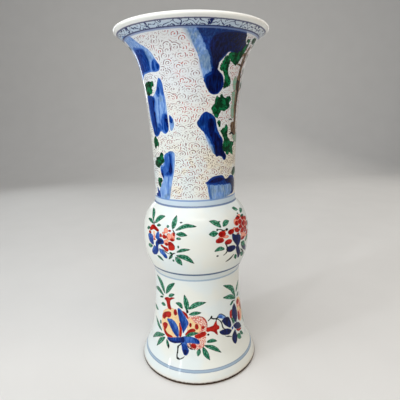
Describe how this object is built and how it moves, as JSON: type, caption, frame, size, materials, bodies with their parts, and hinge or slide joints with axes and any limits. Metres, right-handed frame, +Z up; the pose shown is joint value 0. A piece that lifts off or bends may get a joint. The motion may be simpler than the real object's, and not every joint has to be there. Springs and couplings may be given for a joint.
{
  "type": "gu vase",
  "caption": "Tall gu-form porcelain vase: trumpet neck with an everted lip, round central bulb and spreading foot, luted over a recessed base; it holds stems.",
  "frame": {"origin": "centre of the foot ring's flat underside, on the surface the vase stands on", "axes": "+Z up along the axis that the vase was turned about; -Y is the side that the picture shows"},
  "size_m": [0.18, 0.18, 0.42],
  "materials": {
    "glazed_porcelain": "clear glossy glaze over white porcelain, painted in underglaze blue and overglaze enamels",
    "luting_slip": "fired porcelain slip under the same glaze",
    "biscuit_base": "unglazed fired porcelain, burnt buff"
  },
  "bodies": {
    "root": {"trumpet_neck": "glazed_porcelain", "central_bulb": "glazed_porcelain", "spreading_foot": "glazed_porcelain", "base_slab": "biscuit_base", "neck_luting_slip": "luting_slip", "waist_luting_slip": "luting_slip", "base_luting_slip": "luting_slip"}
  },
  "joints": []
}
